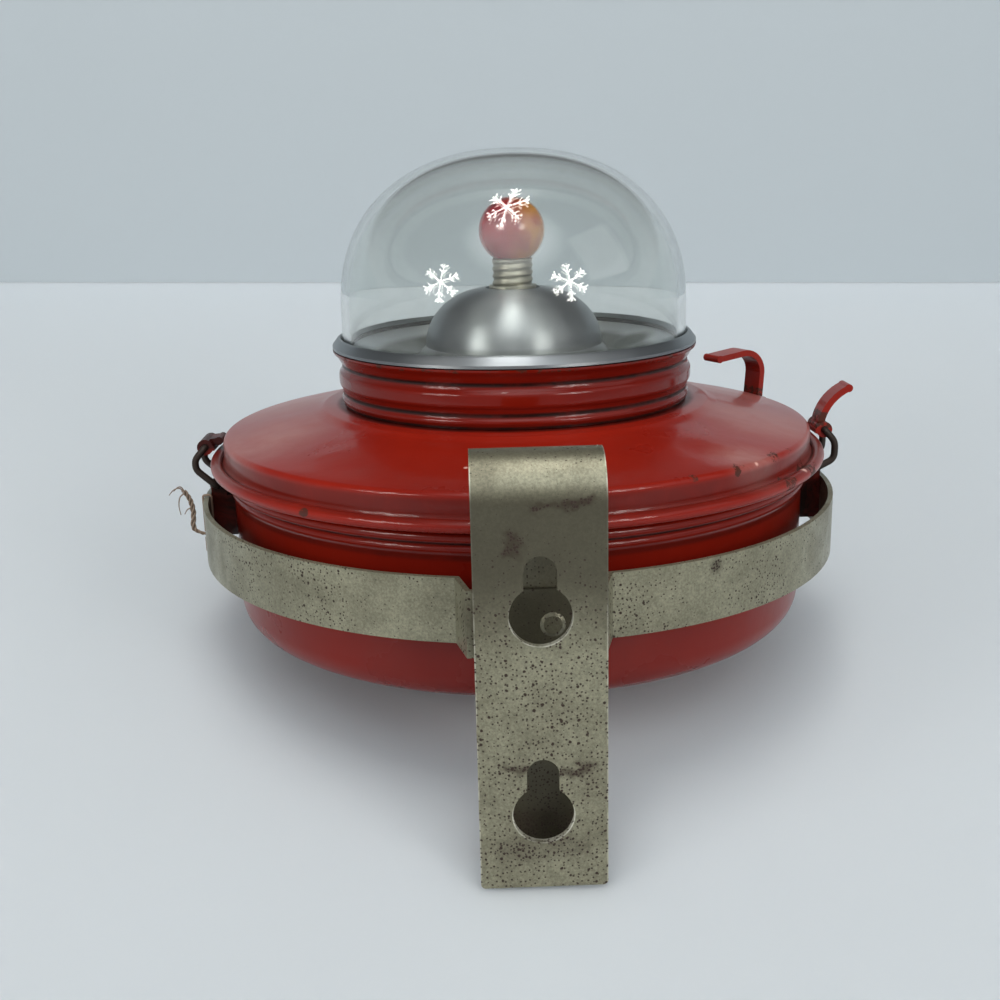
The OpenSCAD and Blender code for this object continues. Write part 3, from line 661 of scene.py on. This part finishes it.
def makeLid():
    t, r, neck, land = lid["sheet"], lid["wall"], lid["neck"], lid["land"]
    shoulder = arc((r - lid["round"], lid["shoulder"] - lid["round"]), lid["round"], 0, 78, 8)
    x0, z0 = shoulder[-1]
    x1, z1 = lid["landRadius"] + 3, land - 0.8
    slope = [(x0 + (x1 - x0) * i / 12, z0 + (z1 - z0) * i / 12) for i in range(1, 12)]
    flare = arc((r + lid["flare"], lid["flange"] + t + lid["flare"]), lid["flare"], 270, 180, 14)
    path = (flare + [(r, 45.4)] + shoulder + slope
            + [(x1, z1), (x1 - 0.7, z1 + 0.5), (x1 - 1.5, z1 + 0.8), (neck + 0.3, land),
               (neck + 0.1, land + 0.1), (neck, land + 0.3), (neck, 60.0),
               (neck, lid["neckTop"])])

    def uneven(x, y, z, radius, angle):
        if 50 < radius < 74:
            depth = noise.noise(Vector((x * 0.045, y * 0.045, 3.1))) * 0.35
            depth += noise.noise(Vector((x * 0.12, y * 0.12, 7.7))) * 0.12
            z -= abs(depth) * min(1.0, (radius - 50) / 5, (74 - radius) / 5)
        return x, y, z

    rubs, faded, chips = ([(rimSpot, *place, 1) for place in lid[key]]
                          for key in ("rubs", "faded", "chips"))
    wear = rubs + [(ringBand, 79.2, 0.3, 0.8, 0.42), (heightBand, 48.4, 0.2, 0.5, 0.3)]
    # Painted shade on the wall below the shoulder and in the creases at the bead's flare and at the
    # neck
    grime = [(ringBand, 76.6, 0.15, 0.6, 0.8), (ringBand, 44.6, 0.6, 1.8, 0.8),
             (heightBand, 44.8, 1.6, 1.2, 0.42)]
    finish = enamelMaterial("enamelled steel lid", wear, faded, grime, chips, tone=0.93)
    turned("lidShell", sheetOutline(path, t), finish, "lid_body", ("lid",), shape=uneven)
    bead = arc((lid["beadCentre"], lid["beadHeight"]), lid["bead"], 0, 345, 23)
    turned("lidBead", bead, finish, "lid_body")
    turned("lidFlange", [(73.8, lid["flange"]), (76.2, lid["flange"]), (76.2, lid["flange"] + t),
                         (73.8, lid["flange"] + t)], finish, "lid_body")


makeLid()

collar = {"foot": 55.2, "height": 14.0, "groove": 44.6, "bulge": 45.5, "lip": 46.8, "sheet": 0.6}


def makeCollar():
    g, b, lip, z = collar["groove"], collar["bulge"], collar["lip"], collar["foot"]
    top = z + collar["height"]
    path = ([(g - 0.1, z)] + arc((g - 0.7, z + 1.6), 1.1, -45, 45, 6) + [(g, z + 3.1)]
            + arc((b - 1.6, z + 5.9), 1.6, -50, 0, 6) + arc((b - 1.6, z + 7.6), 1.6, 0, 50, 6)
            + [(g, z + 9.9), (g + 0.05, z + 10.4), (g + 0.3, z + 10.9), (g + 0.9, z + 11.9),
               (lip - 0.8, top - 1.2), (lip - 0.2, top - 0.8), (lip, top - 0.4), (lip, top)])
    wear = [(heightBand, 68.9, 0.4, 0.7, 0.8), (heightBand, 62, 1.2, 1.2, 0.28)]
    # Painted shade in the collar's grooves and at its foot, and a darker tone over the whole collar
    grime = [(heightBand, 58.4, 0.15, 0.7, 1), (heightBand, 65.5, 0.15, 0.7, 1),
             (heightBand, 55.4, 0.1, 0.6, 1)]
    finish = enamelMaterial("enamelled steel collar", wear, (), grime, dull=-0.07, tone=0.64)
    turned("collarRing", sheetOutline(path, collar["sheet"]), finish, "collar_body", ("collar",))


makeCollar()

reflector = {
    "seat": 70.1, "sheet": 0.6, "ringIn": 44.5, "ringOut": 46.8, "ringHeight": 2.0, "shelf": 41.4,
    "trough": 28, "troughDepth": 4.6, "hump": 22.8, "humpHeight": 13.3, "eye": 6.46,
}


def makeReflector():
    c = reflector
    seat, sheet, near, far = c["seat"], c["sheet"], c["ringIn"], c["ringOut"]
    top = seat + c["ringHeight"]
    hump = [(c["eye"] + (c["hump"] - c["eye"]) * math.cos(math.radians(a)),
             seat - 1 + (c["humpHeight"] + 1) * math.sin(math.radians(a))) for a in range(0, 91, 4)]
    path = ([(near + 0.4, seat), (c["shelf"], seat)]
            + arc((c["trough"], seat - c["troughDepth"] + 4), 4, -72, -130, 8) + hump)
    ring = [(near, seat - sheet), (far, seat - sheet), (far, seat + 0.1), (far - 0.5, seat + 0.7),
            (near + 1.0, top - 0.25), (near + 0.6, top), (near + 0.2, top), (near, top - 0.3)]
    finish = aluminiumMaterial()
    turned("reflectorDish", sheetOutline(path, sheet), finish, "optic", ("reflector",))
    turned("reflectorRing", ring, finish, "optic")


makeReflector()

dome = {
    "foot": 70.9, "radius": 44.2, "wall": 2.0, "straight": 8, "height": 47, "steps": 40,
    "square": 2.25,     # 2 would be an ellipse
}


def domeArch(radius, rise):
    # A quarter of a slightly squared ellipse
    power = 2 / dome["square"]
    turn = [math.radians(90 * i / dome["steps"]) for i in range(dome["steps"] + 1)]
    return [(radius * max(math.cos(a), 0.0005) ** power,
             dome["straight"] + rise * math.sin(a) ** power) for a in turn]


def makeDome():
    rise, inside = dome["height"] - dome["straight"], dome["radius"] - dome["wall"]
    outer = [(dome["radius"], 0.0)] + domeArch(dome["radius"], rise)
    inner = [(inside, 0.0)] + domeArch(inside, rise - dome["wall"])
    outline = [(r, z + dome["foot"]) for r, z in outer + inner[::-1]]
    turned("domeShell", outline, domeMaterial(), "optic", ("dome_lens",), sharp=50)


makeDome()
print("pan, lid, collar and dome ready")

bulb = {
    "globe": 8.4, "globeHeight": 97.8, "neck": 4.7, "baseTop": 90.6, "baseBottom": 78.0,
    "base": 5.2, "tip": 2.4, "pitch": 1.81, "thread": 0.3, "wall": 0.6, "sheet": 0.25,
    "steps": 96, "rows": 110,
}
nickel = plainMaterial("dull nickel plate")


def makeBulb():
    c = bulb
    globe, middle, neck = c["globe"], c["globeHeight"], c["neck"]
    wall, top = c["wall"], c["baseTop"]
    outer = [(max(r, 0.01), z) for r, z in
             arc((0, middle), globe, 90, math.degrees(math.asin(neck / globe)) - 90, 34)]
    foot = [(neck - 0.1, top + 0.2), (neck - 0.1, top - 3), (neck - wall, top - 3),
            (neck - wall, top + 0.4)]
    share = (globe - wall) / globe
    inner = [(max(r * share, 0.008), middle + (z - middle) * share) for r, z in reversed(outer)]
    turned("bulbGlobe", outer + foot + inner, lacquerMaterial(), "bulb", ("bulb_globe",), 96)
    # The rolled thread runs up the base as one ridge
    steps, rows, low = c["steps"], c["rows"], c["baseBottom"] + 2
    levels = []
    for j in range(rows + 1):
        z = low + (top - low) * j / rows
        fade = min(1.0, (z - low) / 0.8, (top - z) / 0.9)
        levels.append((z, c["base"], c["thread"] * fade))
    levels += [(c["baseBottom"], c["tip"], 0), (top + 0.35, neck - 0.05, 0)]
    vertices, faces = [], []
    for z, r, thread in levels:
        for i in range(steps):
            a = 2 * math.pi * i / steps
            wave = 0.5 - 0.5 * math.cos(2 * math.pi * (z - low) / c["pitch"] - a)
            out = r - thread * wave
            vertices.append((out * math.cos(a), out * math.sin(a), z))
    # Each strip of faces joins two of the levels, the tip's and the neck's among them
    for lower, upper in [(j, j + 1) for j in range(rows)] + [(rows + 1, 0), (rows, rows + 2)]:
        for i in range(steps):
            k = (i + 1) % steps
            faces.append((lower * steps + i, lower * steps + k,
                          upper * steps + k, upper * steps + i))
    base = meshObject("bulbBase", vertices, faces, nickel, 50)
    thick = base.modifiers.new("sheet", "SOLIDIFY")
    thick.thickness = c["sheet"] * mm
    thick.offset = -1
    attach(base, "bulb")
    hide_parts("bulb_base")


makeBulb()


def lowerDense(add, where):
    # Specks are few under the bend and crowd below the upper keyhole
    height = add("SeparateXYZ", {0: where}).outputs["Z"]
    low = add("MapRange", {0: height, 1: 48 * mm, 2: 20 * mm, 3: 0.3})
    bend = add("MapRange", {0: height, 1: 55 * mm, 2: 60 * mm, 4: 0.5}, eased)
    drift = add("TexNoise", {0: where, "Scale": perMm(9), "Detail": 3})
    drift = add("MapRange", {0: drift, 1: 0.35, 2: 0.6, 3: 0.66})
    return add("Math", {0: anyOf(add, [low, bend]), 1: drift}, times)


def frontDense(add, where):
    # The hoop is speckled in drifts, most of all beside the bracket
    drift = add("TexNoise", {0: where, "Scale": perMm(22), "Detail": 3})
    drift = add("MapRange", {0: drift, 1: 0.38, 2: 0.62, 3: 0.35})
    depth = add("SeparateXYZ", {0: where}).outputs["Y"]
    front = add("MapRange", {0: depth, 1: -10 * mm, 2: -70 * mm, 3: 0.35})
    return add("Math", {0: drift, 1: front}, times)


plate = {
    "front": -104.3,
    "halfWidth": 12.65,
    "keyholes": (31.9, -9.4),     # heights of their round parts
    "keyhole": 6.02,
    # Middle and half size across and up, soft edge, strength
    "rust": [
        (streak, (6.6, 53.9), (2.6, 0.3), 1.5, 1.0),     # in line under the bend
        (streak, (1.4, 52.8), (3.4, 0.1), 1.4, 0.72),
        (streak, (-5.0, 45.9), (0.9, 2.1), 1.5, 0.8),
        (streak, (-5.0, 0.9), (2.2, 0.2), 1.3, 0.92),    # beside the lower slot
        (streak, (6.4, 0.2), (2.4, 0.4), 1.5, 0.95),
        (streak, (0, -17), (7, 1), 3, 0.5),
    ],
}


def plateRims(add, where):
    # Painted highlight on edges: the strip's two sides, and the lower parts of the punched rims of
    # the keyholes
    parts = add("SeparateXYZ", {0: where}).outputs
    side = add("Math", {0: parts["X"]}, {"operation": "ABSOLUTE"})
    rims = [add("Math", {0: band(add, side, plate["halfWidth"], 0.08, 0.2), 1: 0.6}, times)]
    for height in plate["keyholes"]:
        centre = (0, plate["front"] * mm, height * mm)
        away = add("VectorMath", {0: where, 1: centre}, {"operation": "DISTANCE"})
        under = add("MapRange", {0: parts["Z"], 1: (height + 3) * mm, 2: (height - 1) * mm}, eased)
        rim = band(add, away, plate["keyhole"] + 0.05, 0.06, 0.18)
        rims.append(add("Math", {0: rim, 1: under}, times))
    worn = add("TexNoise", {0: where, "Scale": perMm(3), "Detail": 3})
    worn = add("MapRange", {0: worn, 1: 0.3, 2: 0.6}, eased)
    return add("Math", {0: anyOf(add, rims), 1: worn}, times)


def behindPlate(add, where):
    # Painted shade between the bracket's leaves, deepest low down, and under and over the bend,
    # where it stands for a dimmer reflection
    parts = add("SeparateXYZ", {0: where}).outputs
    inner = add("MapRange", {0: parts["Y"], 1: -103.1 * mm, 2: -102.2 * mm})
    low = add("MapRange", {0: parts["Z"], 1: 28 * mm, 2: 18 * mm, 3: 0.1, 4: 0.85})
    under, below, over = (add("MapRange", {0: parts["Z"], 1: start * mm, 2: end * mm}, eased)
                          for start, end in ((20, 41), (59.2, 53.5), (60.6, 62.2)))
    dull = add("Math", {0: under, 1: below}, times)
    return anyOf(add, [add("Math", {0: mask, 1: strength}, times)
                       for mask, strength in ((inner, low), (dull, 0.86), (over, 0.6))])


# Painted shade on the hoop's bridge behind the bracket
def behindBridge(add, where):
    return markMask(add, where, [(spot, (0, -88, 25), 17, 0.3, 0.8)])


hoopRust = [(spot, (39.6, -71.8, 30.0), 2.6, 0.8, 0.9)]
plateSteel = strapMaterial("nickel-plated bracket strip", 104, lowerDense, plate["rust"],
                           behindPlate, plateRims)
bandSteel = strapMaterial("nickel-plated hoop strip", 82, frontDense, hoopRust, behindBridge)
dress("hanger_plate", plateSteel, 0.3)
dress("hoop_band", bandSteel, 0.18, 20)
dress("spot_welds", plateSteel)
dress("base_rivets", bandSteel)
print("hoop and bracket ready")

latch = {
    "pivot": (78.6, 34.2), "bow": 83.7, "bar": (81.2, 44.4), "half": 5.8, "wire": 0.9, "pin": 2.9,
    # Side, degrees round the rim, and how far up the wire bows out
    "places": (("Left", 180, 4.6), ("Right", 0, 2.6), ("Rear", 28, 4.6)),
}
wireMetal = plainMaterial("oxidised wire")


def makeBail(side, azimuth, rise):
    (out, low), bar, half, pin = latch["pivot"], latch["bar"], latch["half"], latch["pin"]
    path = [(out, low), (latch["bow"], low + rise), (latch["bow"] + 0.1, bar[1] - 3), bar]
    points = ([(out, -pin, low)] + [(x, -half, z) for x, z in path]
              + [(x, half, z) for x, z in reversed(path)] + [(out, pin, low)])
    node = "bail_" + side.lower()
    wire = around(azimuth, roundedPath(points, 1.6))
    tube(f"bail{side}Wire", wire, latch["wire"], wireMetal, node + "_body", (node,))


for side, azimuth, rise in latch["places"]:
    makeBail(side, azimuth, rise)
# Finish, wear, grime and painted shade, how much duller than the lid, bevel in mm, and the pieces
latchPieces = (
    ("enamelled steel lever", [(heightBand, 47, 1.5, 2.5, 1)], [], 0.08, 0.15,
     ("lever_right", "lever_rear")),
    ("sooty steel lever stub", [], [(heightBand, 46.5, 2.0, 1.5, 0.9)], 0.1, 0.15,
     ("lever_left",)),
    # The brackets are painted dark all over for the shade in the gap between hoop and pan
    ("sooty latch bracket", [], [(heightBand, 28, 12, 4, 1)], 0.2, 0.12,
     ("latch_base_left", "latch_base_right", "latch_base_rear")),
)
for finish, wear, grime, dull, bevel, names in latchPieces:
    material = enamelMaterial(finish, wear, (), grime, dull=dull)
    for name in names:
        dress(name, material, bevel)

tie = {
    "azimuth": 185.5, "wire": 0.32, "out": 82.45, "in": 80.35, "low": 17.25, "high": 32.45,
    "strand": 0.3, "twist": 0.42, "turns": 3, "fray": 0.2,
    "route": [(82.75, 0, 22.0), (85.4, 0, 23.7), (85.25, 0, 28.0), (85.8, 0, 31.4),
              (87.2, 0, 34.0)],
    "frays": [
        [(87.0, 0.1, 33.6), (88.2, 0.6, 34.8), (89.6, 1.4, 34.6), (90.7, 2.4, 33.5)],
        [(87.0, 0.2, 33.6), (87.7, 0.4, 35.0), (88.6, 0.8, 35.1), (89.6, 1.3, 34.2)],
        [(87.1, 0.2, 33.4), (88.3, 0.4, 32.2), (88.7, 0.5, 30.0), (88.4, 0.4, 27.6)],
        [(85.4, 0.3, 29.4), (86.6, 0.5, 29.0), (87.4, 0.6, 27.8)],
    ],
}


def makeTie():
    # A loop round the hoop, three strands twisted together, and their frayed ends
    c, azimuth, metal = tie, tie["azimuth"], plainMaterial("frayed tie wire")
    near, far, low, high = c["in"], c["out"], c["low"], c["high"]
    loop = [(far, 0, 21.2), (far, 0, low), (near, 0, low), (near, 0, high), (far, 0, high),
            (far, 0, 22.8)]
    points = around(azimuth, roundedPath(loop, 0.6))
    tube("tieLoop", points, c["wire"], metal, "base", ("tie_wire",), 10)
    route = smoothPath(c["route"], 12)
    for number in range(3):
        strand = []
        for i, p in enumerate(route):
            a = math.radians(120 * number + 360 * c["turns"] * i / (len(route) - 1))
            out, along = c["twist"] * math.cos(a), c["twist"] * math.sin(a)
            strand.append((p.x + out, along, p.z + 0.1 * math.sin(a)))
        points = around(azimuth, strand)
        tube(f"tieStrand{number + 1}", points, c["strand"], metal, "base", (), 8)
    for number, fray in enumerate(c["frays"]):
        points = around(azimuth, smoothPath(fray))
        tube(f"tieFray{number + 1}", points, c["fray"], metal, "base", (), 8, 0.5)


makeTie()
print("latches and tie wire ready")

innerPieces = (
    (plainMaterial("tinned sheet"), ("battery_tray", "socket_bridge", "cell_springs")),
    (plainMaterial("strip brass"), ("end_terminals", "link_strip", "feed_strip", "socket_contact")),
    (nickel, ("socket_shell", "bulb_contact")),
    (plainMaterial("moulded rubber seal"), ("rim_gasket", "dome_gasket")),
    (plainMaterial("pressed fibre board"), ("socket_insulator",)),
    (plainMaterial("pressed lamp stem"), ("bulb_stem",)),
    (plainMaterial("drawn tungsten"), ("bulb_filament",)),
    (plainMaterial("dry cell card jacket"), ("cell_1", "cell_2", "cell_3", "cell_4")),
)
for finish, names in innerPieces:
    for name in names:
        dress(name, finish)
print("inner pieces ready")

stage = {
    "lean": 8.4,          # degrees that the lantern leans back
    "drop": -25.3,        # mm, the bracket's foot
    "gap": 0.0006,        # metres from here on
    "near": 0.45,
    "depth": 0.51,
    "half": 3,
    "tall": 0.24,
    "floor": ("CAD0D5", 0.5, 0.2, 1.0),     # colour, roughness, gloss, how far light spreads in it
    "wall": ("B7BFC4", 0.9, 0.3, 0.0),
    "spread": 0.016,
}


def board(name, points):
    # Painted board: an even pale tone with a very slow drift. It is clear from its far side,
    # so that a low view from behind isn't blocked
    hexText, roughness, gloss, soft = stage[name]
    material, add, where = newMaterial(name + " board")
    cloud = add("TexNoise", {0: where, "Scale": 3, "Detail": 2})
    shade = add("HueSaturation", {"Value": 0.97, "Color": hexText})
    paint = add("BsdfPrincipled", {
        "Base Color": add("Mix", {0: cloud, 6: shade, 7: hexText}, tinted),
        "Roughness": roughness, "Specular IOR Level": gloss, "Subsurface Weight": soft,
        "Subsurface Radius": (1, 1, 1), "Subsurface Scale": stage["spread"]})
    behind = add("NewGeometry").outputs["Backfacing"]
    shader = add("MixShader", {0: behind, 1: paint, 2: add("BsdfTransparent")})
    add("OutputMaterial", {"Surface": shader})
    data = bpy.data.meshes.new(name)
    data.from_pydata([tuple(p) for p in points], [], [(0, 1, 2, 3)])
    data.materials.append(material)
    newObject(name, data)


def makeStage():
    # The lantern leans back onto its pan's rear edge, so the floor tilts in its frame
    lean = math.radians(stage["lean"])
    right = (bpy.context.scene.camera.matrix_world.to_3x3() @ Vector((1, 0, 0))).normalized()
    along = Vector((0, math.cos(lean), math.sin(lean)))
    along = (along - right * along.dot(right)).normalized()
    up = right.cross(along)
    foot = Vector((0, plate["front"] * mm, stage["drop"] * mm)) - up * stage["gap"]
    back, near = foot + along * stage["depth"], foot - along * stage["near"]
    side, top = right * stage["half"], back + up * stage["tall"]
    board("floor", [near - side, near + side, back + side, back - side])
    board("wall", [back - side, back + side, top + side, top - side])


# A wide soft light overhead, pale walls low down around, and a dim room elsewhere. A zone
# grows along its axis from the first number to the second, and downwards from the third
# to the fourth
light = {
    "color": "EDF1F3",
    "overhead": (0, -0.62, 0.78), "edge": (0.84, 0.985), "strength": 2.55,
    "room": 0.16,
    "walls": (0.55, (("X", 0.5, 1.0, 0.6, 0.1), ("X", -0.3, -0.9, 0.6, 0.1),
                     ("Y", 0.1, 0.9, 0.5, 0.1))),
    "front": (0.5, (("Y", -0.1, -0.7, 0.7, 0.3),)),
    "fill": {"place": (1.1, -0.5, 0.8), "target": (0, 0, 0.05), "size": 0.8, "watts": 1.3},
}


def makeWorld():
    world = bpy.data.worlds.new("studio")
    bpy.context.scene.world = world
    add = nodeAdder(world)
    aim = add("TexCoord").outputs["Generated"]
    way = add("SeparateXYZ", {0: aim}).outputs
    strength = light["room"]
    for level, zones in (light["walls"], light["front"]):
        masks = []
        for axis, start, end, low, high in zones:
            masks.append(add("Math", {
                0: add("MapRange", {0: way[axis], 1: start, 2: end}, eased),
                1: add("MapRange", {0: way["Z"], 1: low, 2: high}, eased)}, times))
        strength = add("Mix", {0: anyOf(add, masks), 2: strength, 3: level})
    lamp = Vector(light["overhead"]).normalized()
    facing = add("VectorMath", {0: aim, 1: lamp}, {"operation": "DOT_PRODUCT"})
    overhead = add("MapRange", {0: facing, 1: light["edge"][0], 2: light["edge"][1]}, eased)
    strength = add("Mix", {0: overhead, 2: strength, 3: light["strength"]})
    sky = add("Background", {"Color": light["color"], "Strength": strength})
    add("OutputWorld", {"Surface": sky})


def makeFill():
    fill = light["fill"]
    data = bpy.data.lights.new("fill light", "AREA")
    data.shape = "RECTANGLE"
    data.size = data.size_y = fill["size"]
    data.energy = fill["watts"]
    aim = Vector(fill["target"]) - Vector(fill["place"])
    lamp = newObject("fill light", data)
    turn = aim.to_track_quat("-Z", "Y").to_matrix().to_4x4()
    lamp.matrix_world = Matrix.Translation(Vector(fill["place"])) @ turn


# Six-armed lamps a metre away, seen only where the dome and the gloss mirror them
star = {
    "color": "FFFDF8",
    "centre": (0, -0.03, 0.09),
    "arm": 0.085, "twig": 0.07, "twigLength": 0.28, "twigTurn": 50, "twigsAt": (0.5, 0.78),
    # Direction, half width, half height, strength
    "lamps": {
        "left star lamp": ((-0.747, -0.61, 0.264), 0.22, 0.22, 26),
        "right star lamp": ((0.562, -0.786, 0.259), 0.22, 0.22, 26),
        "top star lamp": ((-0.042, -0.157, 0.987), 0.17, 0.36, 24),
    },
}


def makeStarLamp(name, direction, across, tall, strength):
    material, add, _ = newMaterial(name + " glow")
    glow = add("Emission", {"Color": star["color"], "Strength": strength})
    add("OutputMaterial", {"Surface": glow})
    bars = []
    for arm in range(6):
        a = math.radians(60 * arm + 30)
        out = Vector((math.cos(a), math.sin(a)))
        bars.append((Vector((0, 0)), out, star["arm"]))
        for share in star["twigsAt"]:
            for turn in (1, -1):
                b = a + math.radians(star["twigTurn"] * turn)
                twig = Vector((math.cos(b), math.sin(b))) * star["twigLength"]
                bars.append((out * share, out * share + twig, star["twig"]))
    vertices, faces = [], []
    for start, end, width in bars:
        run = (end - start).normalized() * width / 2
        first = len(vertices)
        for p, side in ((start, 1), (end, 1), (end, -1), (start, -1)):
            vertices.append(((p.x - run.y * side) * across, (p.y + run.x * side) * tall, 0))
        faces.append((first, first + 1, first + 2, first + 3))
    data = bpy.data.meshes.new(name)
    data.from_pydata(vertices, [], faces)
    data.materials.append(material)
    lamp = newObject(name, data)
    way = Vector(direction).normalized()
    lamp.matrix_world = (Matrix.Translation(Vector(star["centre"]) + way)
                         @ way.to_track_quat("Z", "Y").to_matrix().to_4x4())
    lamp.visible_camera = False


makeStage()
makeWorld()
makeFill()
for name, settings in star["lamps"].items():
    makeStarLamp(name, *settings)
bpy.context.scene.view_settings.view_transform = "Standard"
print("stage ready")
